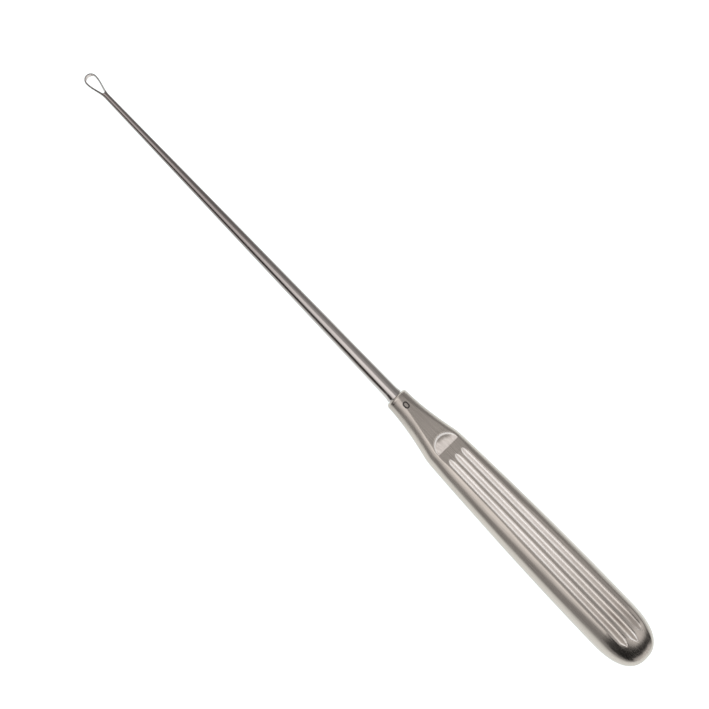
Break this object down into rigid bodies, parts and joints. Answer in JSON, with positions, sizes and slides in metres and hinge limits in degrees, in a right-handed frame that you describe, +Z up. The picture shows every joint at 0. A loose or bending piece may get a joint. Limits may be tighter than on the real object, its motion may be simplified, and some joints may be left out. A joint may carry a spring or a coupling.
{
  "type": "cervical curette",
  "caption": "Slim steel curette: a small sharp teardrop loop on a tapered round shaft, set in a hollow flattened handle with fluted faces and half-round thumb rests.",
  "frame": {"origin": "centre of the footprint, on the surface that the curette lies on", "axes": "+X along the tool from the butt of the handle to the loop, +Z up, square to the fluted faces within 2 degrees, +Y across the handle"},
  "size_m": [0.29, 0.0206, 0.0146],
  "materials": {
    "satin_steel": "satin brushed, with a paler matt finish in the flutes and thumb rests",
    "bright_steel": "fine satin, ground bright at the loop"
  },
  "bodies": {
    "root": {"hollow_handle": "satin_steel", "loop_shaft": "bright_steel"}
  },
  "joints": []
}
